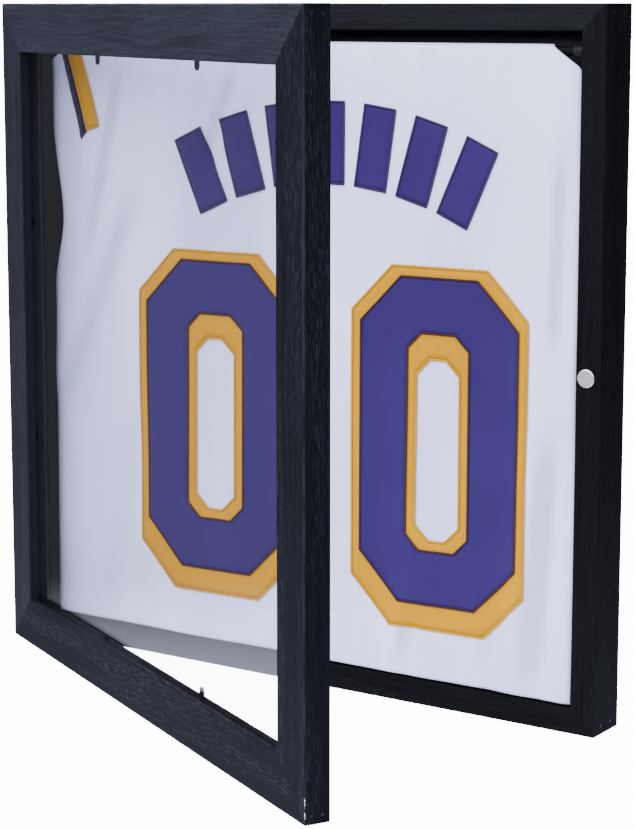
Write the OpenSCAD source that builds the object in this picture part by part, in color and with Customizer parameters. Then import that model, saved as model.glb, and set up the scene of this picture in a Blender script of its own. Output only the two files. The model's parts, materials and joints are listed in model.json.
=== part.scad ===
// Wall-hung display frame for a folded sports jersey.
// A shallow case hangs on the wall, and a glazed door is hinged on its left side.
// Frame: X to the right, Y into the wall, Z up. The origin is the middle of the flat back.
// The door's pieces are drawn closed, and in_door() swings them to the rest angle.

/* [Case] */
// Outer width of the case and of the door
frame_w = 600; // [560:10:800]
// Outer height of the case and of the door
frame_h = 600; // [560:10:800]
// Depth of the case, from the wall to its front face
case_d = 44; // [44:1:70]
// Width of the case's moulding, seen from the front
case_wall = 22; // [22:1:30]
// Thickness of the back panel
panel_t = 5; // [3:1:6]
// Thickness of the lined board in front of the back panel
liner_t = 2; // [1:0.5:3]

/* [Door] */
// How far the door stands open at rest, in degrees
door_open = 28.1; // [0:0.1:60]
// Thickness of the door's moulding
door_t = 22; // [20:1:30]
// Width of the door's moulding, seen from the front
door_rail = 44; // [40:1:60]
// Gap between the closed door and the case
door_gap = 1; // [1:0.5:2]
// Thickness of the clear glazing
glazing_t = 2; // [1.5:0.5:3]
// How far the glazing lies behind the door's front face
glazing_inset = 8.7; // [6:0.1:10]

/* [Hardware] */
// Height of each butt hinge
hinge_h = 50; // [40:2:70]
// Height of the hinges above and below the middle
hinge_z = 200; // [150:5:220]
// Diameter of the magnet catch
magnet_d = 15; // [10:1:15]
// Height of the wall hangers above the middle
hanger_z = 225; // [150:5:240]
// Diameter of the rod that the jersey hangs on
rod_d = 8; // [6:1:8]

/* [Jersey] */
// How far the jersey's front leans forward at its hem
jersey_lean = 3; // [1:0.5:4]
// Height of each figure of the number
figure_h = 300; // [200:2:300]
// Width of each figure of the number
figure_w = 172; // [130:2:172]

/* [Hidden] */
$fn = 48;
cut = 1;                                   // how far a cutting tool runs past a face
arris = 1;                                 // chamfer along the mouldings' front edges
seat_play = 0.1;                           // around a screw in its seat
screw_tip = 2;                             // length of a screw's point
slot_w = 0.6;                              // width of the cross cut in a screw's head
inner_w = frame_w - 2 * case_wall;
inner_h = frame_h - 2 * case_wall;

// case
panel_lap = 8;                             // how far the back panel laps onto the moulding
panel_play = 0.5;
rabbet_d = panel_t + liner_t;
panel_w = inner_w + 2 * (panel_lap - panel_play);
panel_h = inner_h + 2 * (panel_lap - panel_play);
panel_screw_in = 5;                        // from the moulding's inner edge, outward
panel_screw_along = 0.31;                  // from a side's middle, as a share of its length
nail_head = [1.2, 1.2];                    // radius and thickness
nail_shank = [0.7, 30];                    // radius and length
nail_proud = 0.2;
nail_levels = [0.3, 0.7];                  // as shares of the moulding's depth
case_nail_in = case_wall / 3;              // from the top or bottom of the frame
door_nail_in = 7;

// door, in its closed place
door_back_y = -case_d - door_gap;
door_front_y = door_back_y - door_t;
glazing_lap = 6;                           // how far the glazing reaches behind the lip
glazing_play = 0.5;
glazing_seat = 0.1;                        // between the glazing and the lip
glazing_y = door_front_y + glazing_inset;  // the glazing's front surface
glazing_w = frame_w - 2 * door_rail + 2 * (glazing_lap - glazing_play);
glazing_h = frame_h - 2 * door_rail + 2 * (glazing_lap - glazing_play);
point_w = 8;
point_l = 17;
point_t = 1;
point_bite = 3;                            // how deep a glazing point is driven in
point_gap = 0.2;                           // between the glazing and a point

// hinges
knuckle_r = 2.5;
pin_r = 1.25;
pin_hold = 0.02;
pin_run = 0.06;                            // radial clearance of the turning knuckle
leaf_t = 1;
leaf_w = 16;
leaf_proud = 0.3;
leaf_play = 0.1;                           // around a leaf in its mortise
knuckle_gap = 0.3;
knuckle_lap = 1;                           // how far a knuckle's tongue runs into its leaf
pin_head = [1.9, 1.4, 1];                  // radius below, radius above, height
pin_x = -frame_w / 2 - knuckle_r - knuckle_gap;
pin_y = -case_d - door_gap / 2;
knuckle_l = (hinge_h - 2 * knuckle_gap) / 3;
leaf_screws = [-17, 0, 17];                // heights on the leaf
leaf_screw_x = 10;                         // from the moulding's outer edge

// magnet catch
magnet_t = 5;
magnet_bevel = 0.7;
magnet_proud = 1.2;
magnet_in = 12.5;                          // from the case's right side to its centre
strike_t = 1.5;
strike_sunk = 0.8;
strike_room = 1;
magnet_play = 0.05;

// hangers
hanger_w = 12;
hanger_l = 40;
hanger_t = 1.5;
hanger_play = 0.1;                         // around a hanger in its mortise
hanger_in = 7;                             // from the case's side to the keyhole
keyhole_r = 4.5;
keyhole_neck = 4.5;                        // width of the narrow part
keyhole_rise = 9;
keyhole_drop = 4;                          // keyhole's centre below the plate's middle
keyhole_relief = 0.25;                     // the wood stands this far back from the keyhole
keyhole_room = 9;                          // depth behind the plate for a wall screw's head
hanger_screws_z = [-15.5, 15.5];

// rod and its sockets
rod_r = rod_d / 2;
rod_in = 11;                               // from the case's front face to the rod's axis
rod_y = rod_in - case_d;
rod_z = inner_h / 2 - 16;
socket_r = 5.6;
socket_l = 8;
socket_plate_t = 2;
socket_plate_up = 13;
socket_plate_down = 18;
socket_screw_z = -13;
rod_play = 0.1;
rod_end_gap = 0.5;

// jersey
cloth_t = 1.5;
fold_gap = 0.3;                            // between the rod and the cloth
fold_step = 15;                            // degrees between the fold's points
fold_r = rod_r + fold_gap + cloth_t;       // outside of the fold over the rod
fold_half_w = inner_w / 2 - 29;            // the fold is narrower than the jersey
shoulder_drop = 16;                        // the cut corners end this far below the rod
jersey_side_gap = 2.4;
jersey_half_w = inner_w / 2 - jersey_side_gap;
jersey_hem_z = -inner_h / 2 + 1;
jersey_back_y = rod_y + fold_r;
jersey_face_y = rod_y - fold_r;            // the front at the rod's height
jersey_tilt = atan(jersey_lean / (rod_z - jersey_hem_z));
patch_t = 0.8;
patch_gap = 0.05;
figure_x = [-0.316, 0.53] * jersey_half_w; // centres of the two figures
figure_z = -0.125 * inner_h;
figure_stroke = 56;
figure_edge = 9;                           // width of the outline around a figure
figure_corner = 40;
figure_inner_corner = figure_corner / 3;
figure_drop = 13;                          // how far the backing shows below a figure
blanks = 7;                                // plain tiles where a name's letters would be
blank_w = 31;
blank_h = 70;
blank_turn = 8;                            // degrees from one tile to the next
arch_x = 0.126 * jersey_half_w;            // the arch's top, at the tiles' middle
arch_z = 0.327 * inner_h;
arch_r = 337;
trim_w = 14;
trim_top = [-jersey_half_w + 22, rod_z - 7];   // the trim's outer corner beside the shoulder
trim_low = [-jersey_half_w + 43, rod_z - 77];

// ---- helpers ----

// turns a piece drawn on the closed door to the rest angle
module in_door()
    translate([pin_x, pin_y, 0])
        rotate([0, 0, -door_open])
            translate([-pin_x, -pin_y, 0])
                children();

// a moulding along X with mitred ends; profile is (y, height above the outer edge)
module mitred(profile, length, width, depth)
    intersection() {
        rotate([90, 0, 90])
            linear_extrude(length, center = true) polygon(profile);
        translate([0, depth, 0])
            rotate([90, 0, 0])
                linear_extrude(3 * depth)
                    polygon([
                        [-length / 2, 0], [length / 2, 0],
                        [length / 2 - width, width], [width - length / 2, width]
                    ]);
    }

// puts a moulding on one side of the frame: 0 bottom, 1 left, 2 top, 3 right
module on_side(side)
    rotate([0, 90 * side, 0])
        translate([0, 0, -(side % 2 == 0 ? frame_h : frame_w) / 2])
            children();

function side_length(side) = side % 2 == 0 ? frame_w : frame_h;

case_profile = [
    [0, 0], [arris - case_d, 0], [-case_d, arris], [-case_d, case_wall - arris],
    [arris - case_d, case_wall], [-rabbet_d, case_wall],
    [-rabbet_d, case_wall - panel_lap], [0, case_wall - panel_lap]
];

module case_moulding(side)
    on_side(side) mitred(case_profile, side_length(side), case_wall, case_d);

door_profile = [
    [door_back_y, 0], [door_front_y + arris, 0], [door_front_y, arris],
    [door_front_y, door_rail - arris], [door_front_y + arris, door_rail],
    [glazing_y, door_rail], [glazing_y, door_rail - glazing_lap],
    [door_back_y, door_rail - glazing_lap]
];

module door_moulding(side)
    on_side(side) mitred(door_profile, side_length(side), door_rail, 2 * case_d);

// a wood screw pointing along -Y, its flat head at y = 0
module screw(head_r, shank_r, length)
    rotate([90, 0, 0])
        difference() {
            union() {
                cylinder(h = head_r - shank_r, r1 = head_r, r2 = shank_r);
                cylinder(h = length - screw_tip, r = shank_r);
                translate([0, 0, length - screw_tip])
                    cylinder(h = screw_tip, r1 = shank_r, r2 = shank_r / 3);
            }
            for (turn = [0, 90])
                rotate([0, 0, turn])
                    translate([-head_r / 2, -slot_w / 2, -cut])
                        cube([head_r, slot_w, cut + head_r / 3]);
        }

// the seat that a countersunk head needs, along -Y from y = 0
module screw_seat(head_r, shank_r, depth)
    rotate([90, 0, 0]) {
        translate([0, 0, -cut]) cylinder(h = cut, r = head_r + seat_play);
        cylinder(h = head_r - shank_r, r1 = head_r + seat_play, r2 = shank_r + seat_play);
        cylinder(h = depth, r = shank_r + seat_play);
    }

panel_screw = [3, 1.5, 16];                // head radius, shank radius, length
leaf_screw = [2.2, 1, 10];
small_screw = [2.4, 1.2, 10];

module at_panel_screws()
    for (side = [0 : 3])
        for (along = [-panel_screw_along, panel_screw_along])
            on_side(side)
                translate([along * side_length(side), 0, case_wall - panel_screw_in])
                    children();

// brads through the side mouldings into the rails' mitred ends
module corner_nails(back_y, thickness, in_z)
    for (side = [-1, 1])
        for (end = [-1, 1])
            for (level = nail_levels)
                translate([side * (frame_w / 2 + nail_proud), back_y - thickness * level,
                           end * (frame_h / 2 - in_z)])
                    rotate([0, -90 * side, 0]) {
                        cylinder(h = nail_head[1], r = nail_head[0]);
                        cylinder(h = nail_shank[1], r = nail_shank[0]);
                    }

// ---- case ----

module case_left_stile()
    color("#1c1f27")
        difference() {
            case_moulding(1);
            for (z = [-hinge_z, hinge_z]) leaf_mortise(z, -1);
            hanger_mortise(-1);
        }

module case_right_stile()
    color("#1c1f27")
        difference() {
            case_moulding(3);
            hanger_mortise(1);
            magnet_place(magnet_play) cylinder(h = magnet_t, r = magnet_d / 2 + magnet_play);
        }

module case_top_rail() color("#1c1f27") case_moulding(2);

module case_bottom_rail() color("#1c1f27") case_moulding(0);

module panel_board(y, thickness)
    translate([-panel_w / 2, y - thickness, -panel_h / 2])
        cube([panel_w, thickness, panel_h]);

module back_panel()
    color("#4a3b2c")
        difference() {
            panel_board(0, panel_t);
            at_panel_screws() screw_seat(panel_screw[0], panel_screw[1], panel_t + cut);
        }

module liner_board()
    color("#14151a")
        difference() {
            panel_board(-panel_t, liner_t);
            at_panel_screws()
                rotate([90, 0, 0])
                    translate([0, 0, panel_t - cut])
                        cylinder(h = liner_t + 2 * cut, r = panel_screw[1] + seat_play);
        }

module panel_screws()
    color("silver") at_panel_screws() screw(panel_screw[0], panel_screw[1], panel_screw[2]);

module case_corner_nails() color("#2a2c33") corner_nails(0, case_d, case_nail_in);

// the disc's seat, opening at the case's front face
module magnet_place(sink)
    translate([frame_w / 2 - magnet_in, -case_d + magnet_t - magnet_proud + sink, 0])
        rotate([90, 0, 0]) children();

module case_magnet()
    color("#c8c8c0")
        magnet_place(0)
            rotate_extrude()
                polygon([
                    [0, 0], [magnet_d / 2, 0], [magnet_d / 2, magnet_t - magnet_bevel],
                    [magnet_d / 2 - magnet_bevel, magnet_t], [0, magnet_t]
                ]);

// ---- wall hangers ----

module at_hanger(side)
    translate([side * (frame_w / 2 - hanger_in), 0, hanger_z]) children();

module keyhole(round_r, neck_w, from_y, depth)
    translate([0, from_y, -keyhole_drop])
        rotate([90, 0, 0]) {
            cylinder(h = depth, r = round_r);
            translate([-neck_w / 2, 0, 0]) cube([neck_w, keyhole_rise, depth]);
            translate([0, keyhole_rise, 0]) cylinder(h = depth, r = neck_w / 2);
        }

module hanger_mortise(side)
    at_hanger(side) {
        translate([-hanger_w / 2, -hanger_t, -hanger_l / 2])
            cube([hanger_w, hanger_t + cut, hanger_l]);
        keyhole(keyhole_r + keyhole_relief, 2 * (keyhole_r + keyhole_relief), 0,
                hanger_t + keyhole_room);
    }

module hanger_plate(side)
    color("silver")
        at_hanger(side)
            difference() {
                translate([hanger_play - hanger_w / 2, -hanger_t, hanger_play - hanger_l / 2])
                    cube([hanger_w - 2 * hanger_play, hanger_t, hanger_l - 2 * hanger_play]);
                keyhole(keyhole_r, keyhole_neck, cut, hanger_t + 2 * cut);
                for (z = hanger_screws_z)
                    translate([0, 0, z]) screw_seat(small_screw[0], small_screw[1], hanger_t + cut);
            }

module hanger_plate_left() hanger_plate(-1);

module hanger_plate_right() hanger_plate(1);

module hanger_screws()
    color("silver")
        for (side = [-1, 1])
            at_hanger(side)
                for (z = hanger_screws_z)
                    translate([0, 0, z]) screw(small_screw[0], small_screw[1], small_screw[2]);

// ---- rod ----

// a cradle open at the top, on a plate screwed inside the stile
module rod_socket(side)
    color("#22242b")
        translate([side * inner_w / 2, rod_y, rod_z])
            rotate([0, -90 * side, 0])
                difference() {
                    union() {
                        translate([side > 0 ? -socket_plate_down : -socket_plate_up, -socket_r, 0])
                            cube([socket_plate_up + socket_plate_down, 2 * socket_r, socket_plate_t]);
                        cylinder(h = socket_plate_t + socket_l, r = socket_r);
                    }
                    translate([0, 0, socket_plate_t])
                        cylinder(h = socket_l + cut, r = rod_r + rod_play);
                    translate([side > 0 ? 0 : -socket_plate_up, -rod_r - rod_play, socket_plate_t])
                        cube([socket_plate_up, 2 * (rod_r + rod_play), socket_l + cut]);
                    translate([side * socket_screw_z, 0, socket_plate_t])
                        rotate([90, 0, 0]) screw_seat(small_screw[0], small_screw[1], socket_plate_t + cut);
                }

module rod_socket_left() rod_socket(-1);

module rod_socket_right() rod_socket(1);

module rod_socket_screws()
    color("#3a3c42")
        for (side = [-1, 1])
            translate([side * (inner_w / 2 - socket_plate_t), rod_y, rod_z + socket_screw_z])
                rotate([0, 0, -90 * side])
                    mirror([0, 1, 0]) screw(small_screw[0], small_screw[1], small_screw[2]);

module hanging_rod()
    color("#1a1b20")
        translate([0, rod_y, rod_z])
            rotate([0, 90, 0])
                cylinder(h = inner_w - 2 * (socket_plate_t + rod_end_gap), r = rod_r, center = true);

// ---- hinges ----

// side is -1 for the leaf on the case's face, 1 for the leaf on the door's back
function leaf_y(side) = side < 0 ? -case_d - leaf_proud : door_back_y + leaf_proud - leaf_t;

module leaf_mortise(z, side)
    translate([-frame_w / 2 - cut, leaf_y(side) - (side < 0 ? cut : leaf_play / 2),
               z - hinge_h / 2 - leaf_play])
        cube([leaf_w + cut + leaf_play, leaf_t + cut + leaf_play / 2, hinge_h + 2 * leaf_play]);

// the case's leaf has the two outer knuckles, the door's leaf the middle one
module leaf_knuckles(z, side)
    for (i = side < 0 ? [-1, 1] : [0])
        translate([pin_x, 0, z + i * (knuckle_l + knuckle_gap) - knuckle_l / 2]) {
            translate([0, pin_y, 0]) cylinder(h = knuckle_l, r = knuckle_r);
            translate([0, leaf_y(side), 0])
                cube([knuckle_r + knuckle_gap + knuckle_lap, leaf_t, knuckle_l]);
        }

module leaf(z, side)
    color("#b9a064")
        difference() {
            union() {
                translate([-frame_w / 2, leaf_y(side), z - hinge_h / 2]) cube([leaf_w, leaf_t, hinge_h]);
                leaf_knuckles(z, side);
            }
            translate([pin_x, pin_y, z - hinge_h])
                cylinder(h = 2 * hinge_h, r = pin_r + (side < 0 ? pin_hold : pin_run));
            at_leaf_screws(z, side) screw_seat(leaf_screw[0], leaf_screw[1], leaf_t + cut);
        }

module at_leaf_screws(z, side)
    for (up = leaf_screws)
        translate([leaf_screw_x - frame_w / 2, leaf_y(side) + (side < 0 ? 0 : leaf_t), z + up])
            mirror([0, side < 0 ? 1 : 0, 0])
                children();

module hinge_pin(z)
    color("#b9a064")
        translate([pin_x, pin_y, z - hinge_h / 2]) {
            cylinder(h = hinge_h, r = pin_r);
            translate([0, 0, hinge_h])
                cylinder(h = pin_head[2], r1 = pin_head[0], r2 = pin_head[1]);
        }

module hinge_screws(side)
    color("#b9a064")
        for (z = [-hinge_z, hinge_z])
            at_leaf_screws(z, side) screw(leaf_screw[0], leaf_screw[1], leaf_screw[2]);

module upper_case_leaf() leaf(hinge_z, -1);

module lower_case_leaf() leaf(-hinge_z, -1);

module upper_hinge_pin() hinge_pin(hinge_z);

module lower_hinge_pin() hinge_pin(-hinge_z);

module case_hinge_screws() hinge_screws(-1);

module upper_door_leaf() in_door() leaf(hinge_z, 1);

module lower_door_leaf() in_door() leaf(-hinge_z, 1);

module door_hinge_screws() in_door() hinge_screws(1);

// ---- jersey, hung over the rod and folded up behind ----

module jersey()
    color("#dcdce6")
        difference() {
            intersection() {
                rotate([90, 0, 90])
                    linear_extrude(2 * jersey_half_w, center = true)
                        polygon(concat(
                            [for (a = [0 : fold_step : 180])
                                [rod_y + fold_r * cos(a), rod_z + fold_r * sin(a)]],
                            [[jersey_face_y - jersey_lean, jersey_hem_z], [jersey_back_y, jersey_hem_z]]
                        ));
                rotate([90, 0, 0])
                    linear_extrude(case_d)
                        polygon([
                            [-jersey_half_w, jersey_hem_z], [jersey_half_w, jersey_hem_z],
                            [jersey_half_w, rod_z - shoulder_drop], [fold_half_w, rod_z + fold_r],
                            [-fold_half_w, rod_z + fold_r], [-jersey_half_w, rod_z - shoulder_drop]
                        ]);
            }
            translate([0, rod_y, rod_z])
                rotate([0, 90, 0])
                    cylinder(h = frame_w, r = rod_r + fold_gap, center = true);
        }

// lays a flat outline drawn in X and Z on the jersey's leaning front, in a given layer
module on_jersey(layer)
    translate([0, jersey_face_y, rod_z])
        rotate([-jersey_tilt, 0, 0])
            translate([0, -layer * (patch_t + patch_gap) - patch_gap, -rod_z])
                rotate([90, 0, 0])
                    linear_extrude(patch_t)
                        children();

// a block figure nought: a chamfered frame, grown by edge on every side
module figure(edge)
    difference() {
        chamfered(figure_w / 2 - figure_edge + edge, figure_h / 2 - figure_edge + edge, figure_corner);
        chamfered(figure_w / 2 - figure_stroke - edge, figure_h / 2 - figure_stroke - edge,
                  figure_inner_corner);
    }

module chamfered(half_w, half_h, corner)
    polygon([
        [corner - half_w, -half_h], [half_w - corner, -half_h], [half_w, corner - half_h],
        [half_w, half_h - corner], [half_w - corner, half_h], [corner - half_w, half_h],
        [-half_w, half_h - corner], [-half_w, corner - half_h]
    ]);

module number_backing()
    color("#e0a82e")
        on_jersey(0)
            for (x = figure_x)
                for (drop = [0, figure_drop])
                    translate([x, figure_z - drop]) figure(figure_edge);

module number_face()
    color("#46397c")
        on_jersey(1)
            for (x = figure_x)
                translate([x, figure_z]) figure(0);

// an arch of plain tiles stands where a name would be
module name_blanks()
    color("#46397c")
        on_jersey(0)
            translate([arch_x, arch_z - arch_r])
                for (i = [0 : blanks - 1])
                    rotate(blank_turn * ((blanks - 1) / 2 - i))
                        translate([-blank_w / 2, arch_r - blank_h / 2]) square([blank_w, blank_h]);

// a band beside the left armhole, from the shoulder down
module armhole_trim()
    color("#e0a82e")
        on_jersey(0)
            polygon([trim_top, trim_top + [trim_w, 0], trim_low + [trim_w, 0], trim_low]);

// ---- door ----

module door_left_stile()
    color("#2b2f3a")
        in_door()
            difference() {
                door_moulding(1);
                for (z = [-hinge_z, hinge_z]) leaf_mortise(z, 1);
            }

module door_right_stile()
    color("#2b2f3a")
        in_door()
            difference() {
                door_moulding(3);
                strike_place(-cut)
                    cylinder(h = cut + strike_sunk + strike_t, r = magnet_d / 2 + strike_room);
            }

module door_top_rail() color("#2b2f3a") in_door() door_moulding(2);

module door_bottom_rail() color("#2b2f3a") in_door() door_moulding(0);

module door_glazing()
    color("#dfe6ea", 0.3)
        in_door()
            translate([-glazing_w / 2, glazing_y + glazing_seat, -glazing_h / 2])
                cube([glazing_w, glazing_t, glazing_h]);

// driven into the rabbet's wall behind the glazing, at a third and two thirds of each side
module glazing_points()
    color("#17181d")
        in_door()
            for (side = [0 : 3])
                for (along = [-1, 1])
                    on_side(side)
                        translate([along * side_length(side) / 6,
                                   glazing_y + glazing_seat + glazing_t + point_gap + point_t,
                                   door_rail - glazing_lap - point_bite])
                            rotate([90, 0, 0])
                                linear_extrude(point_t) {
                                    translate([-point_w / 2, 0]) square([point_w, point_l - point_w / 2]);
                                    translate([0, point_l - point_w / 2]) circle(d = point_w);
                                }

module door_corner_nails() color("#2a2c33") in_door() corner_nails(door_back_y, door_t, door_nail_in);

// the strike's seat, opening at the door's back; Z points into the door
module strike_place(sink)
    translate([frame_w / 2 - magnet_in, door_back_y - sink, 0])
        rotate([90, 0, 0]) children();

module door_strike()
    color("silver")
        in_door()
            difference() {
                strike_place(strike_sunk) cylinder(h = strike_t, r = magnet_d / 2);
                strike_place(strike_sunk)
                    rotate([-90, 0, 0]) screw_seat(small_screw[0], small_screw[1], strike_t + cut);
            }

module strike_screw()
    color("silver")
        in_door()
            strike_place(strike_sunk)
                rotate([-90, 0, 0]) screw(small_screw[0], small_screw[1], small_screw[2]);

// ---- assembly ----

case_left_stile();
case_right_stile();
case_top_rail();
case_bottom_rail();
back_panel();
liner_board();
panel_screws();
case_corner_nails();
hanger_plate_left();
hanger_plate_right();
hanger_screws();
case_magnet();
rod_socket_left();
rod_socket_right();
rod_socket_screws();
hanging_rod();
upper_case_leaf();
lower_case_leaf();
upper_hinge_pin();
lower_hinge_pin();
case_hinge_screws();
jersey();
number_backing();
number_face();
name_blanks();
armhole_trim();
door_left_stile();
door_right_stile();
door_top_rail();
door_bottom_rail();
door_glazing();
glazing_points();
door_corner_nails();
upper_door_leaf();
lower_door_leaf();
door_hinge_screws();
door_strike();
strike_screw();
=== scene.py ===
import json
import math

import bpy
import numpy as np
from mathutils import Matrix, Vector


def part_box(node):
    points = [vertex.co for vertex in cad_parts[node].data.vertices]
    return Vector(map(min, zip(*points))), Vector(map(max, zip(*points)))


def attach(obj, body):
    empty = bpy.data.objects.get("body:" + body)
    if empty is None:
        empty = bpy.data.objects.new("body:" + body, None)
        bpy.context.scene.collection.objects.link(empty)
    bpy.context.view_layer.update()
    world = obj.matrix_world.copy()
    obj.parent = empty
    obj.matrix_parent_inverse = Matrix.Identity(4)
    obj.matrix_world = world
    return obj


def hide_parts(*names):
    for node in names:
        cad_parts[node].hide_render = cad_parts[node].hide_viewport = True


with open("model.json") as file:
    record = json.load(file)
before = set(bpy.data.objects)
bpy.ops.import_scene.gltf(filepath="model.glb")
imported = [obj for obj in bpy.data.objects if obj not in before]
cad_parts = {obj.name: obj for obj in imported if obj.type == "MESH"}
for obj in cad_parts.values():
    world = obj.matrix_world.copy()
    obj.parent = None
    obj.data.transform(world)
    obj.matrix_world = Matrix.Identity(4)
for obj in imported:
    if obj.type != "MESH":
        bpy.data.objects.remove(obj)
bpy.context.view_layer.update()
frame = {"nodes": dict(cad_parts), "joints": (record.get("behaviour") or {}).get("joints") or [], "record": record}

# Looks of a wall-hung jersey display frame, in metres, in the CAD frame:
# X to the right, Y into the wall, Z up. The origin is the middle of the flat back.

# ---- places taken from the frame ----

hinge = frame["joints"][0]
door_turn = math.radians(-hinge["range_deg"][0])      # how far the door stands open at rest
pin = Vector(hinge["pos_m"])

frame_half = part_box("case_right_stile")[1].x
case_front = -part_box("case_right_stile")[0].y
case_inner_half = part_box("case_right_stile")[0].x
door_thick = 0.022
door_gap = 0.001                                      # between the case and the closed door
door_front = case_front + door_gap + door_thick       # with the door closed
door_inner_half = 0.256                               # half of the door's clear opening

rod_low, rod_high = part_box("hanging_rod")
rod_y = (rod_low.y + rod_high.y) / 2
rod_z = (rod_low.z + rod_high.z) / 2
rod_r = (rod_high.z - rod_low.z) / 2

jersey_low, jersey_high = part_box("jersey")
jersey_half = jersey_high.x
hem_z = jersey_low.z
hem_face_y = jersey_low.y

# ---- node helpers ----


def add(tree, kind, inputs=(), **settings):
    """A new shader node; an input is a value or another node's output."""
    made = tree.nodes.new("ShaderNode" + kind)
    for name, value in settings.items():
        setattr(made, name, value)
    for name, value in dict(inputs).items():
        if isinstance(value, bpy.types.NodeSocket):
            tree.links.new(value, made.inputs[name])
        else:
            made.inputs[name].default_value = value
    return made


def calc(tree, operation, a, b=0.0):
    """The result of a Math node."""
    return add(tree, "Math", {0: a, 1: b}, operation=operation).outputs[0]


def spread(tree, value, low, high, to_low=0.0, to_high=1.0):
    """value from low..high, smoothly turned into to_low..to_high."""
    inputs = {"Value": value, "From Min": low, "From Max": high, "To Min": to_low, "To Max": to_high}
    return add(tree, "MapRange", inputs, interpolation_type="SMOOTHSTEP").outputs[0]


def blend(tree, factor, a, b):
    """Colour a where factor is 0, b where it is 1."""
    made = add(tree, "Mix", data_type="RGBA")
    for socket, value in zip((made.inputs[0], made.inputs[6], made.inputs[7]), (factor, a, b)):
        if isinstance(value, bpy.types.NodeSocket):
            tree.links.new(value, socket)
        else:
            socket.default_value = value
    return made.outputs[2]


def grain_noise(tree, vector, scale, detail=2.0, roughness=0.5):
    """Noise stretched by a scale along each axis."""
    stretched = add(tree, "Mapping", {"Vector": vector, "Scale": scale}).outputs[0]
    inputs = {"Vector": stretched, "Scale": 1.0, "Detail": detail, "Roughness": roughness}
    return add(tree, "TexNoise", inputs).outputs[0]


def object_place(tree):
    """A place in the object's own coordinates, which are the CAD frame's."""
    return add(tree, "TexCoord").outputs["Object"]


def material(name, color, roughness, specular, metallic=0.0):
    """A Principled material, returned with its tree and its shader."""
    made = bpy.data.materials.new(name)
    made.use_nodes = True
    shader = made.node_tree.nodes["Principled BSDF"]
    shader.inputs["Base Color"].default_value = (*color, 1.0)
    shader.inputs["Roughness"].default_value = roughness
    shader.inputs["Metallic"].default_value = metallic
    shader.inputs["Specular IOR Level"].default_value = specular
    return made, made.node_tree, shader


def drive(tree, shader, color, roughness, height, bump, strength):
    """Feeds a shader's colour, its roughness unless that is None, and its normal from a height."""
    tree.links.new(color, shader.inputs["Base Color"])
    if roughness is not None:
        tree.links.new(roughness, shader.inputs["Roughness"])
    inputs = {"Height": height, "Distance": bump, "Strength": strength}
    tree.links.new(add(tree, "Bump", inputs).outputs[0], shader.inputs["Normal"])


# ---- black wood ----

arris = 0.001                                         # width of the broken outer edges
WOOD_CHIP = (0.75, 0.74, 0.70, 1)

# how much light each moulding gives back: its stain's tone with painted light and shade on top, the top rails
# paler and the bottom rails darker, as the light falls
STAIN_AND_PAINTED_LIGHT = {
    "door_left_stile": 0.0116,
    "door_right_stile": 0.0060,
    "door_top_rail": 0.0165,
    "door_bottom_rail": 0.0058,
    "case_left_stile": 0.0044,
    "case_right_stile": 0.0050,
    "case_top_rail": 0.0085,
    "case_bottom_rail": 0.0044,
}

# what the mouldings of one body share: their front, half of their opening, how blue the stain is,
# how much light an open pore gives back, and how much paler than the stain a front outer edge is, worn and with a
# painted highlight
DOOR_WOOD = {"front": door_front, "inner": door_inner_half, "blue": 1.3, "pore": 0.026, "wear_and_glint": 3.0}
CASE_WOOD = {"front": case_front, "inner": case_inner_half, "blue": 1.1, "pore": 0.012, "wear_and_glint": 1.4}


def closed_place(tree, turned):
    """Object coordinates; on the door they are turned back to its closed place."""
    place = object_place(tree)
    if not turned:
        return place
    c, s = math.cos(door_turn), math.sin(door_turn)
    shift = (pin.x - (c * pin.x - s * pin.y), pin.y - (s * pin.x + c * pin.y), 0)
    inputs = {"Vector": place, "Rotation": (0, 0, door_turn), "Location": shift}
    return add(tree, "Mapping", inputs).outputs[0]


def stain(depth, blue):
    """A black-blue stain's colour; depth is how much of the light it gives back. The same colours also carry the
    wood's painted shade and painted highlight.
    """
    return (depth, 1.04 * depth, blue * depth, 1)


def wandering_grain(tree, straight, sideways):
    """Streaks and open pores, which wander from side to side along the grain."""
    wander = grain_noise(tree, straight, (5, 13, 9), detail=1.5)
    swing = calc(tree, "MULTIPLY", calc(tree, "SUBTRACT", wander, 0.5), sideways)
    shift = add(tree, "CombineXYZ", {1: swing}).outputs[0]
    wavy = add(tree, "VectorMath", {0: straight, 1: shift}, operation="ADD").outputs[0]
    streaks = grain_noise(tree, wavy, (13, 640, 640), detail=3, roughness=0.6)
    pores = grain_noise(tree, wavy, (110, 1900, 1500))
    rings = grain_noise(tree, wavy, (3.4, 70, 50), detail=1)
    open_pores = calc(tree, "MULTIPLY", spread(tree, pores, 0.51, 0.64), spread(tree, rings, 0.38, 0.62))
    return streaks, open_pores


def stained_grain(tree, straight, streaks, open_pores, base, wood):
    """The stain's tone: darker in the streaks, paler in clouds, and greyest in the pores."""
    dark, mid, pale = (stain(share * base, wood["blue"]) for share in (0.72, 1.13, 1.5))
    clouds = grain_noise(tree, straight, (7, 20, 20))
    tone = blend(tree, spread(tree, streaks, 0.36, 0.66), dark, mid)
    tone = blend(tree, spread(tree, clouds, 0.35, 0.7, 0.0, 0.25), tone, pale)
    return blend(tree, calc(tree, "MULTIPLY", open_pores, 0.65), tone, stain(wood["pore"], wood["blue"]))


def opening_lip(tree, reach, y, wood, set_back):
    """1 on the smooth lip inside the opening, which may start set back from the front; the lip is painted darker
    there as shade.
    """
    lip = spread(tree, reach, wood["inner"] + 0.0008, wood["inner"] + 0.0002)
    if set_back:
        lip = calc(tree, "MULTIPLY", lip, spread(tree, y, 0.0035 - wood["front"], 0.0055 - wood["front"]))
    return lip


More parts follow.
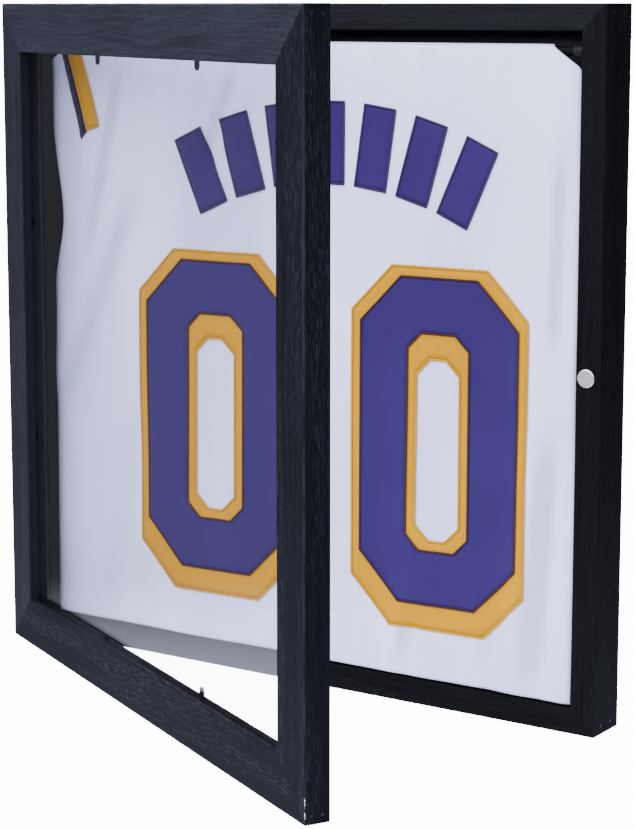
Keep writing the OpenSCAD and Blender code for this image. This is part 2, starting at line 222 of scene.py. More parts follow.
def worn_and_glinting_edge(tree, straight, outer_edge):
    """How far the front outer edges are paled, patch by patch: stain worn off, with a painted highlight along
    them.
    """
    worn_and_glint_band = spread(tree, outer_edge, -0.0010, -0.0001)
    patchy = grain_noise(tree, straight, (35, 200, 200), detail=3)
    return calc(tree, "MULTIPLY", worn_and_glint_band, spread(tree, patchy, 0.35, 0.6, 0.1, 0.8))


def chipped_corner(tree, straight, outer_edge, reach, z):
    """1 in a few chips through the stain, at the lower end of a door stile's outer edge."""
    chips = grain_noise(tree, straight, (420, 900, 900))
    low_end = spread(tree, z, -0.25, -0.285, 1.0, 0.57)
    sharp = calc(tree, "GREATER_THAN", outer_edge, -0.00013)
    sharp = calc(tree, "MULTIPLY", sharp, calc(tree, "GREATER_THAN", reach, frame_half - 0.4 * arris))
    return calc(tree, "MULTIPLY", sharp, calc(tree, "GREATER_THAN", chips, low_end))


def black_wood(name):
    """Open-grained wood under black stain, its grain along X on a rail, along Z on a stile."""
    upright, turned = name.endswith("stile"), name.startswith("door")
    door_rail = turned and not upright
    wood = DOOR_WOOD if turned else CASE_WOOD
    # base: the moulding's stain tone with its painted light and shade
    base, blue = STAIN_AND_PAINTED_LIGHT[name], wood["blue"]
    made, tree, shader = material(name + "_wood", stain(base, blue)[:3], roughness=0.5, specular=0.012)
    x, y, z = add(tree, "SeparateXYZ", {0: closed_place(tree, turned)}).outputs
    along, across = (z, x) if upright else (x, z)
    straight = add(tree, "CombineXYZ", {0: along, 1: across, 2: y}).outputs[0]
    streaks, open_pores = wandering_grain(tree, straight, 0.012 if upright else 0.028)
    tone = stained_grain(tree, straight, streaks, open_pores, base, wood)

    reach = calc(tree, "MAXIMUM", calc(tree, "ABSOLUTE", x), calc(tree, "ABSOLUTE", z))
    lip = opening_lip(tree, reach, y, wood, set_back=door_rail)
    # painted shade: the lip inside the opening is darker than the face
    tone = blend(tree, lip, tone, stain((0.3 if door_rail else 0.65) * base, blue))
    outer_edge = calc(tree, "SUBTRACT", calc(tree, "SUBTRACT", reach, y), frame_half + wood["front"] - arris)
    # front outer edges paled: worn stain with a painted highlight along them
    tone = blend(tree, worn_and_glinting_edge(tree, straight, outer_edge), tone, stain(wood["wear_and_glint"] * base, blue))
    if turned and upright:
        tone = blend(tree, chipped_corner(tree, straight, outer_edge, reach, z), tone, WOOD_CHIP)

    rough = calc(tree, "ADD", calc(tree, "MULTIPLY", streaks, 0.35), 0.32)
    relief = calc(tree, "SUBTRACT", calc(tree, "MULTIPLY", streaks, 0.8), open_pores)
    relief = calc(tree, "MULTIPLY", relief, calc(tree, "SUBTRACT", 1.0, lip))
    drive(tree, shader, tone, rough, relief, bump=0.00025, strength=0.5)
    return made


# ---- boards, metals and plastics ----


def hardboard():
    """Pressed brown board, with short fibres in every direction."""
    made, tree, shader = material("hardboard", (0.12, 0.07, 0.035), roughness=0.62, specular=0.3)
    place = object_place(tree)
    fibres = grain_noise(tree, place, (420, 420, 420), detail=5, roughness=0.7)
    clouds = grain_noise(tree, place, (9, 9, 9), detail=3)
    tone = blend(tree, spread(tree, fibres, 0.35, 0.68), (0.060, 0.034, 0.017, 1), (0.17, 0.105, 0.055, 1))
    tone = blend(tree, calc(tree, "MULTIPLY", clouds, 0.35), tone, (0.075, 0.045, 0.024, 1))
    drive(tree, shader, tone, spread(tree, fibres, 0.3, 0.7, 0.5, 0.75), fibres, bump=0.00012, strength=0.5)
    return made


def woven_height(tree, place, pitch, lift):
    """Over and under threads along X and Z."""
    x, _, z = add(tree, "SeparateXYZ", {0: place}).outputs
    turn = 2 * math.pi / pitch
    warp = calc(tree, "SINE", calc(tree, "MULTIPLY", x, turn))
    weft = calc(tree, "SINE", calc(tree, "MULTIPLY", z, turn))
    return calc(tree, "MULTIPLY", calc(tree, "MULTIPLY", warp, weft), lift)


def liner_cloth():
    """Black satin-faced cloth glued to a board."""
    made, tree, shader = material("liner_cloth", (0.024, 0.025, 0.031), roughness=0.55, specular=0.35)
    place = object_place(tree)
    slubs = grain_noise(tree, place, (55, 55, 900), detail=3, roughness=0.6)
    tone = blend(tree, spread(tree, slubs, 0.35, 0.65), (0.016, 0.017, 0.021, 1), (0.032, 0.033, 0.041, 1))
    height = calc(tree, "ADD", woven_height(tree, place, 0.0009, 0.5), slubs)
    drive(tree, shader, tone, spread(tree, slubs, 0.3, 0.7, 0.48, 0.66), height, bump=0.00008, strength=0.5)
    shader.inputs["Sheen Weight"].default_value = 0.15
    return made


def scuffed_metal(name, color, roughness, brushed, metallic=1.0, dull=0.55, specular=0.5):
    """Metal or enamel with brush marks along one axis, smudges and fine pits."""
    made, tree, shader = material(name, color, roughness, specular, metallic)
    place = object_place(tree)
    marks = grain_noise(tree, place, brushed, detail=3, roughness=0.65)
    smudges = grain_noise(tree, place, (130, 130, 130), detail=3)
    darker = (*(dull * channel for channel in color), 1)
    tone = blend(tree, spread(tree, smudges, 0.42, 0.75), (*color, 1), darker)
    rough = calc(tree, "ADD", calc(tree, "MULTIPLY", marks, 0.22), roughness - 0.11)
    drive(tree, shader, tone, rough, marks, bump=0.00003, strength=0.35)
    return made


def black_plastic():
    """Moulded plastic with a fine spark-eroded skin."""
    made, tree, shader = material("black_plastic", (0.006, 0.006, 0.008), roughness=0.55, specular=0.12)
    skin = grain_noise(tree, object_place(tree), (1900, 1900, 1900))
    tone = blend(tree, skin, (0.0045, 0.0045, 0.006, 1), (0.0085, 0.0085, 0.011, 1))
    drive(tree, shader, tone, spread(tree, skin, 0.3, 0.7, 0.48, 0.64), skin, bump=0.00003, strength=0.6)
    return made


ACRYLIC_INDEX = 1.49


def clear_acrylic():
    """Clear sheet: it mirrors by Fresnel's law and lets the rest through, slightly greyed."""
    made = bpy.data.materials.new("clear_acrylic")
    made.use_nodes = True
    tree = made.node_tree
    tree.nodes.remove(tree.nodes["Principled BSDF"])
    place = object_place(tree)
    wipes = grain_noise(tree, place, (14, 14, 3.5), detail=3)
    through = add(tree, "BsdfTransparent", {"Color": (0.975, 0.977, 0.982, 1)})
    gloss = add(tree, "BsdfAnisotropic", {"Color": (1, 1, 1, 1), "Roughness": 0.02})
    tree.links.new(spread(tree, wipes, 0.3, 0.75, 0.012, 0.05), gloss.inputs["Roughness"])
    # straight-through rays leave by the back face at the angle they came in at
    inside = add(tree, "NewGeometry").outputs["Backfacing"]
    index = spread(tree, inside, 0.0, 1.0, ACRYLIC_INDEX, 1 / ACRYLIC_INDEX)
    mirror = add(tree, "Fresnel", {"IOR": index}).outputs[0]
    mixed = add(tree, "MixShader", {0: mirror, 1: through.outputs[0], 2: gloss.outputs[0]})
    tree.links.new(mixed.outputs[0], tree.nodes["Material Output"].inputs["Surface"])
    return made


# ---- cloths ----


# painted shade on the creases' flanks turned from the light
CREASE_SHADE = "crease_shade"                         # the jersey's attribute, 0 to 1


def white_knit():
    """Smooth white polyester knit, with its ribs down the jersey; painted shade darkens it on the creases' flanks
    turned from the light.
    """
    rib_w, row_h = 0.0011, 0.0009
    made, tree, shader = material("white_knit", (0.72, 0.72, 0.92), roughness=0.72, specular=0.2)
    place = object_place(tree)
    x, _, z = add(tree, "SeparateXYZ", {0: place}).outputs
    wale = calc(tree, "ABSOLUTE", calc(tree, "SINE", calc(tree, "MULTIPLY", x, math.pi / rib_w)))
    courses = calc(tree, "MULTIPLY", z, 2 * math.pi / row_h)
    slant = calc(tree, "ADD", courses, calc(tree, "MULTIPLY", wale, 2.2))
    loops = calc(tree, "ADD", calc(tree, "MULTIPLY", calc(tree, "SINE", slant), 0.35), wale)
    # the streaky clouds down the cloth are the knit's uneven tone and also painted shade of soft folds
    clouds = grain_noise(tree, place, (13, 13, 2.2), detail=3)
    fuzz = grain_noise(tree, place, (700, 700, 700))
    tone = blend(tree, spread(tree, clouds, 0.34, 0.66), (0.63, 0.645, 0.87, 1), (0.775, 0.765, 0.995, 1))
    tone = blend(tree, calc(tree, "MULTIPLY", fuzz, 0.12), tone, (0.61, 0.615, 0.82, 1))
    painted_crease_shade = add(tree, "Attribute", attribute_name=CREASE_SHADE).outputs["Fac"]
    # painted shade: the knit darkened where the creases turn from the light
    tone = blend(tree, calc(tree, "MULTIPLY", painted_crease_shade, 0.8), tone, (0.47, 0.485, 0.66, 1))
    drive(tree, shader, tone, None, loops, bump=0.00010, strength=0.35)
    shader.inputs["Sheen Weight"].default_value = 0.3
    shader.inputs["Sheen Roughness"].default_value = 0.5
    return made


def twill(name, light, dark):
    """Tackle twill: a firm cloth with fine slanted ribs."""
    rib_w = 0.0010
    made, tree, shader = material(name, light, roughness=0.6, specular=0.06)
    place = object_place(tree)
    x, _, z = add(tree, "SeparateXYZ", {0: place}).outputs
    slant = calc(tree, "MULTIPLY", calc(tree, "ADD", x, z), 2 * math.pi / rib_w)
    ribs = calc(tree, "SINE", slant)
    clouds = grain_noise(tree, place, (16, 16, 10), detail=3)
    shade = calc(tree, "ADD", calc(tree, "MULTIPLY", ribs, 0.16), clouds)
    tone = blend(tree, spread(tree, shade, 0.25, 0.8), (*light, 1), (*dark, 1))
    drive(tree, shader, tone, None, ribs, bump=0.00008, strength=0.35)
    shader.inputs["Sheen Weight"].default_value = 0.02
    return made


def stitching(name, light, dark):
    """Satin stitches laid side by side across a seam; the UV map's U runs along it, in metres."""
    thread_w = 0.0006
    made, tree, shader = material(name, light, roughness=0.5, specular=0.2)
    u = add(tree, "SeparateXYZ", {0: add(tree, "TexCoord").outputs["UV"]}).outputs[0]
    threads = calc(tree, "SINE", calc(tree, "MULTIPLY", u, 2 * math.pi / thread_w))
    uneven = grain_noise(tree, object_place(tree), (500, 500, 500))
    shade = calc(tree, "ADD", calc(tree, "MULTIPLY", threads, 0.25), uneven)
    tone = blend(tree, spread(tree, shade, 0.2, 0.8), (*dark, 1), (*light, 1))
    drive(tree, shader, tone, None, threads, bump=0.00012, strength=0.7)
    return made


# a light and a dark tone for each twill
GOLD = ((0.54, 0.245, 0.0010), (0.47, 0.210, 0.0008))
PURPLE = ((0.030, 0.0155, 0.088), (0.025, 0.0125, 0.072))
NAVY = ((0.0065, 0.0032, 0.026), (0.0048, 0.0024, 0.020))

looks = {
    "hardboard": hardboard(),
    "liner_cloth": liner_cloth(),
    "zinc_steel": scuffed_metal("zinc_steel", (0.56, 0.57, 0.58), 0.38, (90, 90, 900)),
    "nail_steel": scuffed_metal("nail_steel", (0.021, 0.022, 0.026), 0.42, (600, 600, 600), metallic=0.4,
                                specular=0.2),
    "nickel": scuffed_metal("nickel", (0.76, 0.74, 0.61), 0.40, (500, 500, 500), dull=0.85),
    "black_plastic": black_plastic(),
    "rod_paint": scuffed_metal("rod_paint", (0.004, 0.004, 0.005), 0.55, (60, 700, 700), metallic=0.0,
                               specular=0.04),
    "hinge_brass": scuffed_metal("hinge_brass", (0.56, 0.41, 0.19), 0.34, (90, 90, 1000), dull=0.6),
    "point_paint": scuffed_metal("point_paint", (0.005, 0.005, 0.007), 0.45, (400, 400, 400), metallic=0.0,
                                 specular=0.08),
    "clear_acrylic": clear_acrylic(),
    "white_knit": white_knit(),
    "gold_twill": twill("gold_twill", *GOLD),
    "purple_twill": twill("purple_twill", *PURPLE),
}
navy_twill = twill("navy_twill", *NAVY)
gold_thread = stitching("gold_thread", (0.60, 0.290, 0.003), (0.46, 0.215, 0.002))
purple_thread = stitching("purple_thread", (0.027, 0.0145, 0.066), (0.019, 0.010, 0.047))
maroon_thread = stitching("maroon_thread", (0.045, 0.009, 0.014), (0.026, 0.005, 0.009))

# ---- carried-over nodes ----

edge_radius = 0.0003


def soften(piece):
    """Rounds a moulding's sharp edges a little, as sanding does."""
    weld = piece.modifiers.new("weld", "WELD")
    weld.merge_threshold = 0.00001
    round_off = piece.modifiers.new("round_off", "BEVEL")
    round_off.width = edge_radius
    round_off.segments = 2
    round_off.limit_method = "ANGLE"
    round_off.angle_limit = math.radians(35)
    round_off.use_clamp_overlap = True


def dress_nodes():
    """Gives each carried-over node its material, and each moulding one of its own."""
    for part in frame["record"]["subparts"]:
        name, slot = part["node"], part["material_slot"]
        piece = frame["nodes"][name]
        if slot.endswith("_wood"):
            look = black_wood(name)
            soften(piece)
        else:
            look = looks[slot]
        piece.data.materials.clear()
        piece.data.materials.append(look)


dress_nodes()

# ---- the jersey ----

cloth_t = 0.0012
grid = 0.004                                          # spacing of the cloth's points
rod_gap = 0.0003                                      # between the cloth and the rod
fold_r = rod_r + rod_gap + cloth_t / 2                # the cloth's middle round the rod
hem_r = 0.0022                                        # the cloth's middle round the fold at the hem
face_y = rod_y - fold_r                               # the cloth's middle at the rod's height
hem_y = hem_face_y + cloth_t / 2
back_low_z = -0.12                                    # where the part behind the rod ends
tail_top_z = hem_z + 0.17                             # where the part folded up at the hem ends
shoulder_z = jersey_high.z - 0.0200                   # below this the jersey has its full width
shoulder_cut = 0.0272                                 # how much narrower each side is at the rod
front_slack = 0.0004                                  # how far the front hangs behind a straight line
side_roll = 0.0022                                    # how far its side edges curl back
side_roll_w = 0.012
back_slack = 0.0030                                   # how far the part behind the rod hangs off it
tail_slack = 0.0012                                   # how far the folded-up part hangs off the front


def smooth(t):
    """0 up to t = 0, 1 from t = 1, and an S-curve between them."""
    t = np.clip(t, 0.0, 1.0)
    return t * t * (3 - 2 * t)


def hung(z):
    """How far down the front a height is: 0 at the rod, 1 at the hem."""
    return np.clip((rod_z - z) / (rod_z - hem_z), 0.0, 1.0)


# soft creases down the front: upper end (x, z), lower end (x, z), half width, height;
# a crease stands proud on its left side and dips on its right, or the other way round below 0
CREASES = (
    ((-0.17, 0.15), (-0.28, -0.10), 0.019, 0.0062),
    ((-0.19, 0.26), (-0.24, 0.05), 0.011, 0.0044),
    ((-0.24, 0.22), (-0.26, 0.02), 0.010, -0.0030),
    ((-0.18, -0.04), (-0.22, -0.36), 0.019, 0.0030),
    ((-0.06, 0.26), (-0.11, 0.14), 0.011, 0.0036),
    ((0.03, 0.27), (0.00, 0.10), 0.013, -0.0036),
    ((0.26, 0.20), (0.255, 0.00), 0.011, 0.0040),
    ((0.255, -0.02), (0.232, -0.36), 0.018, 0.0085),
    ((0.22, -0.16), (0.19, -0.36), 0.012, -0.0044),
    ((0.12, -0.20), (0.10, -0.36), 0.013, 0.0050),
)
calm_z = hem_z + 0.035                                # below this the hem's double cloth calms them
calm_h = 0.03
calm_share = 0.75
# slope at which the painted crease shade is full
full_shade_slope = 0.35


def crease_y(x, z):
    """How far the creases move the front, fading out towards their ends."""
    moved = 0.0
    for (top_x, top_z), (low_x, low_z), half_w, height in CREASES:
        run_x, run_z = low_x - top_x, low_z - top_z
        length = math.hypot(run_x, run_z)
        along = ((x - top_x) * run_x + (z - top_z) * run_z) / length ** 2
        aside = ((x - top_x) * run_z - (z - top_z) * run_x) / (length * half_w)
        fade = smooth(along / 0.25) * smooth((1 - along) / 0.25)
        moved = moved + fade * (0.25 * abs(height) - height * aside) * np.exp(-aside ** 2)
    return moved * (1 - calm_share * smooth((calm_z - z) / calm_h))


def crease_shade(x, z):
    """How much painted shade a crease puts on a place, from 0 to 1: the more it faces right, away from the light,
    the darker.
    """
    step = 0.001
    slope = (crease_y(x + step, z) - crease_y(x - step, z)) / (2 * step)
    return np.clip(slope / full_shade_slope, 0.0, 1.0)


# shallow folds across the front: height, spacing, phase, how far they sway to the side
FOLDS = (
    (0.00105, 0.205, 0.7, 1.0),
    (0.00065, 0.117, 2.1, -1.4),
    (0.00030, 0.062, 4.0, 2.2),
)


def ripple(x, z):
    """The shallow folds, which hang from the rod, grow below it and calm down at the hem."""
    fall = hung(z)
    sway = 0.35 * np.sin(9.0 * z + 0.8) + 0.2 * np.sin(21.0 * z + 2.0)
    folds = sum(
        height * np.cos(2 * np.pi * x / spacing + phase + aside * sway)
        for height, spacing, phase, aside in FOLDS
    )
    grown = 0.08 + 0.92 * smooth(fall * 2.2)
    calmed = 1 - 0.4 * smooth((fall - 0.85) / 0.15)
    return folds * grown * calmed


def front_y(x, z):
    """The cloth's middle surface on the jersey's front."""
    fall = hung(z)
    straight = face_y + (hem_y - face_y) * fall
    roll = side_roll * smooth((np.abs(x) - jersey_half + side_roll_w) / side_roll_w) ** 2
    off_rod = smooth(fall / 0.05)
    return straight + ripple(x, z) + crease_y(x, z) + off_rod * (front_slack + roll)


def left_side(z):
    """How far the left side is scooped in below the armhole."""
    deepest, middle, below, above = 0.011, 0.105, 0.065, 0.085
    reach = np.where(z < middle, below, above)
    return deepest * np.clip(1 - ((z - middle) / reach) ** 2, 0, 1) ** 2


def cloth_rows():
    """The cloth's path from its end behind the rod to its end behind the hem:
    rows of (part, y or angle, z)."""
    rows = []
    for z in np.linspace(back_low_z, rod_z, round((rod_z - back_low_z) / grid)):
        rows.append(("back", 0.0, z))
    for angle in np.linspace(0, math.pi, 13)[1:-1]:
        rows.append(("rod", angle, rod_z + fold_r * math.sin(angle)))
    front_low = hem_z + hem_r + cloth_t / 2
    for z in np.linspace(rod_z, front_low, round((rod_z - front_low) / grid)):
        rows.append(("front", 0.0, z))
    for angle in np.linspace(0, math.pi, 9)[1:-1]:
        rows.append(("hem", angle, front_low - hem_r * math.sin(angle)))
    for z in np.linspace(front_low, tail_top_z, round((tail_top_z - front_low) / grid)):
        rows.append(("tail", 0.0, z))
    return rows


def cloth_points(part, angle, z, across):
    """One row of the cloth; across runs from -1 at the left side to 1 at the right."""
    cut = shoulder_cut * cut_share(part, angle, z)
    left, right = -jersey_half + cut, jersey_half - cut
    if part in ("front", "tail", "hem"):
        left = left + left_side(z)
    x = left + (right - left) * (across + 1) / 2
    if part == "back":
        off_rod = smooth((rod_z - z) / 0.08)
        y = rod_y + fold_r + off_rod * (back_slack + 0.8 * ripple(x + 0.03, z))
    elif part == "rod":
        y = rod_y + fold_r * math.cos(angle) + (1 - math.cos(angle)) / 2 * (front_y(x, rod_z) - face_y)
    elif part == "front":
        y = front_y(x, z)
    elif part == "hem":
        y = front_y(x, hem_z) + hem_r * (1 - math.cos(angle))
    else:
        y = front_y(x, z) + 2 * hem_r + tail_slack * smooth((z - hem_z) / 0.05)
    return np.stack([x, y, np.full_like(x, z)], axis=1)


def cut_share(part, angle, z):
    """Share of the shoulder cut at a row: none below the shoulder in front, and more behind the rod."""
    if part == "back":
        return 1.25 - 0.75 * float(smooth((rod_z - z) / 0.06))
    if part == "rod" and angle < math.pi / 2:
        return 1.0 + 0.25 * math.cos(angle)
    return min(1.0, max(0.0, (z - shoulder_z) / (jersey_high.z - 0.001 - shoulder_z)))


def mesh_piece(name, points, faces, looks_used, smooth_faces=True):
    """A new object from points and faces, with its materials."""
    mesh = bpy.data.meshes.new(name)
    mesh.from_pydata([tuple(p) for p in points], [], faces)
    mesh.validate()
    for look in looks_used:
        mesh.materials.append(look)
    if smooth_faces:
        mesh.polygons.foreach_set("use_smooth", [True] * len(mesh.polygons))
    made = bpy.data.objects.new(name, mesh)
    bpy.context.scene.collection.objects.link(made)
    return made


def grid_faces(rows, columns, closed=False):
    """Quads between rows of points; closed joins each row's last point to its first."""
    span = columns if closed else columns - 1
    return [
        (
            r * columns + c,
            r * columns + (c + 1) % columns,
            (r + 1) * columns + (c + 1) % columns,
            (r + 1) * columns + c,
        )
        for r in range(rows - 1) for c in range(span)
    ]


def thicken(piece, thickness, offset=0.0):
    """Gives a surface a thickness, on both its sides alike unless offset says otherwise."""
    solid = piece.modifiers.new("thickness", "SOLIDIFY")
    solid.thickness = thickness
    solid.offset = offset
    solid.use_even_offset = True


def make_jersey():
    """The jersey's cloth, and its length along the middle when flat."""
    rows = cloth_rows()
    columns = round(2 * jersey_half / grid) + 1
    across = np.linspace(-1, 1, columns)
    points = np.concatenate([cloth_points(part, angle, z, across) for part, angle, z in rows])
    made = mesh_piece("jersey_cloth", points, grid_faces(len(rows), columns), [looks["white_knit"]])
    # the painted crease shade, kept on the cloth's points
    shade = made.data.attributes.new(CREASE_SHADE, "FLOAT", "POINT")
    shade.data.foreach_set("value", crease_shade(points[:, 0], points[:, 2]))
    thicken(made, cloth_t)
    middle = points.reshape(len(rows), columns, 3)[:, columns // 2]
    length = float(np.linalg.norm(np.diff(middle, axis=0), axis=1).sum())
    return made, length


jersey, jersey_length = make_jersey()

# ---- twill sewn on the jersey ----

twill_t = 0.0005
step_in = 0.004                                       # spacing of a patch's points
ring_layers = 12                                      # rows of faces across a ring
stitch_w = 0.0013
stitch_h = 0.0003
stitch_sink = 0.0001                                  # how deep the bead's edges lie in the twill
stitch_rows = 7                                       # rows of points across the bead


def on_front(flat, lift):
    """Points (x, z) laid on the jersey's front, lift proud of the cloth's face."""
    flat = np.asarray(flat, float)
    y = front_y(flat[:, 0], flat[:, 1]) - cloth_t / 2 - lift
    return np.stack([flat[:, 0], y, flat[:, 1]], axis=1)


def octagon(x, half_w, top, bottom, corner):
    """A rectangle's outline with its corners cut, clockwise from the lower left."""
    return [
        Vector(p) for p in (
            (x - half_w, bottom + corner), (x - half_w, top - corner),
            (x - half_w + corner, top), (x + half_w - corner, top),
            (x + half_w, top - corner), (x + half_w, bottom + corner),
            (x + half_w - corner, bottom), (x - half_w + corner, bottom),
        )
    ]


def along_outline(corners, pieces):
    """Points along a closed outline, each side cut into its own number of pieces."""
    points = []
    for i, count in enumerate(pieces):
        start, end = corners[i], corners[(i + 1) % len(corners)]
        points += [tuple(start.lerp(end, k / count)) for k in range(count)]
    return np.array(points)


def ring_patch(outer, inner, lift):
    """A flat ring between two outlines with the same number of corners."""
    pieces = [
        max(2, round((outer[i] - outer[(i + 1) % len(outer)]).length / step_in)) for i in range(len(outer))
    ]
    edge_out, edge_in = along_outline(outer, pieces), along_outline(inner, pieces)
    shares = [k / ring_layers for k in range(ring_layers + 1)]
    flat = np.concatenate([edge_out + (edge_in - edge_out) * share for share in shares])
    return on_front(flat, lift), grid_faces(len(shares), len(edge_out), closed=True), edge_out, edge_in


def stitched_edge(loop, lift):
    """A low rounded bead of stitches along a closed loop of (x, z) points, with its UV map's values."""
    loop = np.asarray(loop, float)
    ahead = np.roll(loop, -1, axis=0) - loop
    behind = loop - np.roll(loop, 1, axis=0)
    ahead /= np.linalg.norm(ahead, axis=1, keepdims=True)
    behind /= np.linalg.norm(behind, axis=1, keepdims=True)
    lean = ahead + behind
    lean /= np.linalg.norm(lean, axis=1, keepdims=True)
    aside = np.stack([lean[:, 1], -lean[:, 0]], axis=1)
    square_on = np.stack([ahead[:, 1], -ahead[:, 0]], axis=1)
    aside /= np.clip(np.sum(aside * square_on, axis=1), 0.6, 1)[:, None]
    walked = np.concatenate([[0], np.cumsum(np.linalg.norm(np.diff(loop, axis=0), axis=1))])
    points, uvs = [], []
    for share in np.linspace(-1, 1, stitch_rows):
        height = stitch_h * math.sqrt(max(0.0, 1 - share * share)) - stitch_sink
        points.append(on_front(loop + aside * share * stitch_w / 2, lift + height))
        uvs += [(float(w), float(share)) for w in walked]
    return np.concatenate(points), grid_faces(stitch_rows, len(loop), closed=True), uvs


class Patchwork:
    """Several patches gathered into one piece, with a material for each kind of face."""

    def __init__(self):
        self.points, self.faces, self.kinds, self.uvs = [], [], [], []

    def gather(self, points, faces, kind, uvs=None):
        """Adds a patch whose faces all take the material numbered kind."""
        start = len(self.points)
        self.points += [tuple(p) for p in points]
        self.faces += [tuple(start + i for i in face) for face in faces]
        self.kinds += [kind] * len(faces)
        self.uvs += uvs or [(float(p[0]), float(p[2])) for p in points]

    def piece(self, name, looks_used):
        """The gathered patches as one object."""
        made = mesh_piece(name, self.points, self.faces, looks_used)
        made.data.polygons.foreach_set("material_index", self.kinds)
        layer = made.data.uv_layers.new(name="stitches")
        for loop in made.data.loops:
            layer.data[loop.index].uv = self.uvs[loop.vertex_index]
        return made


face_low, face_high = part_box("number_face")
figure_half = 0.077                                   # half the width of a purple figure
figure_edge = 0.009                                   # how far the gold shows round the purple
figure_stroke = 0.047                                 # width of a figure's line
figure_drop = 0.013                                   # how far the gold shows below the purple
figure_corner = 0.040                                 # how much of its outer corners is cut off
figure_mid_x = (face_low.x + figure_half, face_high.x - figure_half)
lifts = {"backing": 0.0001, "face": 0.0007}           # how far proud of the cloth a layer starts


def figure_outlines(x, edge, drop):
    """Outer and inner outline of a nought, grown by edge and drawn down by drop."""
    half_w, top, bottom = figure_half + edge, face_high.z + edge, face_low.z - edge
    hole = figure_stroke + 2 * edge
    outer = octagon(x, half_w, top, bottom - drop, figure_corner)
    inner = octagon(x, half_w - hole, top - hole - drop, bottom + hole, figure_corner / 3)
    return outer, inner


def make_figures(name, edge, drop, lift, cloth, thread):
    """One layer of both noughts, stitched down along its outer and inner outlines."""
    work = Patchwork()
    for x in figure_mid_x:
        points, faces, outside, inside = ring_patch(*figure_outlines(x, edge, drop), lift)
        work.gather(points, faces, 0)
        for loop in (outside, inside):
            bead, bead_faces, uvs = stitched_edge(loop, lift + twill_t)
            work.gather(bead, bead_faces, 1, uvs)
    made = work.piece(name, [cloth, thread])
    thicken(made, twill_t, offset=-1.0)
    return made


backing = make_figures("number_backing_twill", figure_edge, figure_drop, lifts["backing"],
                       looks["gold_twill"], gold_thread)
face = make_figures("number_face_twill", 0.0, 0.0, lifts["face"], looks["purple_twill"], maroon_thread)

tiles_low, tiles_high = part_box("name_blanks")
tile_count = 7
tile_w = 0.031
tile_h = 0.070
tile_turn = math.radians(8)                           # from one tile to the next
arch_r = 0.337                                        # from the arch's centre to a tile's middle
arch_x = (tiles_low.x + tiles_high.x) / 2
arch_z = tiles_high.z - tile_h / 2 - arch_r


def four_sided(corners, lift, work, cloth_kind, thread_kind):
    """A patch between four corners, given in order round it, with a stitched edge."""
    corners = [Vector(c) for c in corners]
    wide = max(2, round((corners[1] - corners[0]).length / step_in))
    high = max(2, round((corners[3] - corners[0]).length / step_in))
    rows = [
        corners[0].lerp(corners[3], r / high).lerp(corners[1].lerp(corners[2], r / high), c / wide)
        for r in range(high + 1) for c in range(wide + 1)
    ]
    work.gather(on_front([tuple(p) for p in rows], lift), grid_faces(high + 1, wide + 1), cloth_kind)
    loop = along_outline(corners, [wide, high, wide, high])
    bead, bead_faces, uvs = stitched_edge(loop, lift + twill_t)
    work.gather(bead, bead_faces, thread_kind, uvs)


def make_tiles():
    """Plain tiles on an arch, where a name would be."""
    work = Patchwork()
    for i in range(tile_count):
        turn = tile_turn * (i - (tile_count - 1) / 2)
        out, aside = Vector((math.sin(turn), math.cos(turn))), Vector((math.cos(turn), -math.sin(turn)))
        centre = Vector((arch_x, arch_z)) + out * arch_r
        corners = [
            centre + aside * (sx * tile_w / 2) + out * (sz * tile_h / 2)
            for sx, sz in ((-1, -1), (-1, 1), (1, 1), (1, -1))
        ]
        four_sided(corners, lifts["backing"], work, 0, 1)
    made = work.piece("name_tiles_twill", [looks["purple_twill"], purple_thread])
    thicken(made, twill_t, offset=-1.0)
    return made


tiles = make_tiles()

trim_low, trim_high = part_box("armhole_trim")
trim_w = 0.014                                        # width of the gold stripe
navy_w = 0.0075
# both stripes: cloth, thread, left side, width, lift,
# and how far above the trim's low end the two lower corners are
STRIPES = (
    (0, 1, 0.0, trim_w, lifts["face"], (0.0, 0.004)),
    (2, 3, -navy_w, navy_w, lifts["backing"], (-0.008, 0.0)),
)


def make_trim():
    """A gold stripe and a navy one beside it, which slant down from the shoulder."""
    work = Patchwork()
    top_x, low_x = trim_low.x, trim_high.x - trim_w
    for cloth, thread, left, width, lift, (left_end, right_end) in STRIPES:
        corners = [
            (low_x + left, trim_low.z + left_end),
            (top_x + left, trim_high.z),
            (top_x + left + width, trim_high.z),
            (low_x + left + width, trim_low.z + right_end),
        ]
        four_sided(corners, lift, work, cloth, thread)
    made = work.piece("armhole_stripes", [looks["gold_twill"], gold_thread, navy_twill, maroon_thread])
    thicken(made, twill_t, offset=-1.0)
    return made


trim = make_trim()

for piece, node, slot in (
    (jersey, "jersey", "white_knit"),
    (backing, "number_backing", "gold_twill"),
    (face, "number_face", "purple_twill"),
    (tiles, "name_blanks", "purple_twill"),
    (trim, "armhole_trim", "gold_twill"),
):
    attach(piece, "case")
    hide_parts(node)

# ---- floor, light and camera ----

floor_z = -0.95
floor_half = 30.0
WHITE_SEEN = 15.0                                     # what the camera sees past the frame
LIGHT_TINT = (0.93, 0.96, 1.14, 1)
FLOOR_TINT = (0.97, 1.05, 1.40, 1)
KEY_FROM = Vector((-0.25, -0.78, 0.55)).normalized()  # where most of the light comes from
KEY, FILL, HORIZON = 7.3, 0.36, 0.10                  # strongest, elsewhere, and low all round
FLOOR_LIT = 2.5
lit_reach = (1.8, 3.2)                                # the floor dims between these distances

camera_at = (1.1365, -1.6964, 0.2985)
camera_down = math.radians(9.024)                     # how far it looks down
camera_aside = math.radians(33.916)                   # and to the left


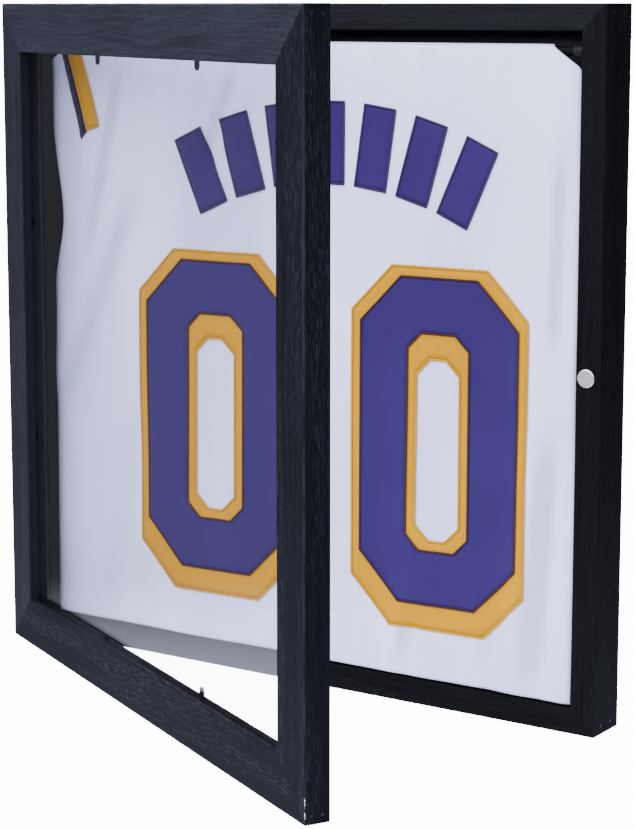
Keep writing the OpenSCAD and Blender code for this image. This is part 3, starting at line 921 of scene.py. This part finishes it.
def make_floor():
    """Pale floor, which glows softly in a wide round patch below the frame."""
    corners = [(-1, -1), (1, -1), (1, 1), (-1, 1)]
    points = [(x * floor_half, y * floor_half, floor_z) for x, y in corners]
    made, tree, shader = material("pale_floor", (0.0, 0.0, 0.0), roughness=0.9, specular=0.0)
    x, y, _ = add(tree, "SeparateXYZ", {0: object_place(tree)}).outputs
    flat = add(tree, "CombineXYZ", {0: x, 1: y}).outputs[0]
    away = add(tree, "VectorMath", {0: flat}, operation="LENGTH").outputs["Value"]
    lit = spread(tree, away, *lit_reach, FLOOR_LIT, HORIZON)
    tint = blend(tree, spread(tree, away, *lit_reach), FLOOR_TINT, LIGHT_TINT)
    seen = add(tree, "LightPath").outputs["Is Camera Ray"]
    glow = add(tree, "Mix", {0: seen, 2: lit, 3: WHITE_SEEN}, data_type="FLOAT").outputs[0]
    tree.links.new(blend(tree, seen, tint, (1, 1, 1, 1)), shader.inputs["Emission Color"])
    tree.links.new(glow, shader.inputs["Emission Strength"])
    mesh_piece("floor", points, [(0, 1, 2, 3)], [made], smooth_faces=False)


def make_world():
    """Soft cool light from the front left, with dim surroundings elsewhere."""
    world = bpy.data.worlds.new("studio")
    bpy.context.scene.world = world
    world.use_nodes = True
    tree = world.node_tree
    direction = add(tree, "TexCoord").outputs["Generated"]
    towards = add(tree, "VectorMath", {0: direction, 1: KEY_FROM}, operation="DOT_PRODUCT")
    height = add(tree, "SeparateXYZ", {0: direction}).outputs[2]
    facing = spread(tree, towards.outputs["Value"], 0.15, 1.0)
    lit = calc(tree, "MULTIPLY", facing, spread(tree, height, 0, 0.35))
    around = spread(tree, height, 0, 0.3, HORIZON, FILL)
    lit = calc(tree, "ADD", calc(tree, "MULTIPLY", lit, KEY - FILL), around)
    seen = add(tree, "LightPath").outputs["Is Camera Ray"]
    strength = add(tree, "Mix", {0: seen, 2: lit, 3: WHITE_SEEN}, data_type="FLOAT").outputs[0]
    background = tree.nodes["Background"]
    background.inputs["Color"].default_value = LIGHT_TINT
    tree.links.new(strength, background.inputs["Strength"])


def make_camera():
    """A long lens from the front right, a little above the frame's middle."""
    data = bpy.data.cameras.new("camera")
    data.lens = 100.39
    data.shift_x = 0.0006
    data.shift_y = -0.0512
    data.clip_end = 200
    made = bpy.data.objects.new("camera", data)
    made.location = camera_at
    made.rotation_euler = (math.radians(90) - camera_down, 0, camera_aside)
    bpy.context.scene.collection.objects.link(made)
    bpy.context.scene.camera = made


make_floor()
make_world()
make_camera()
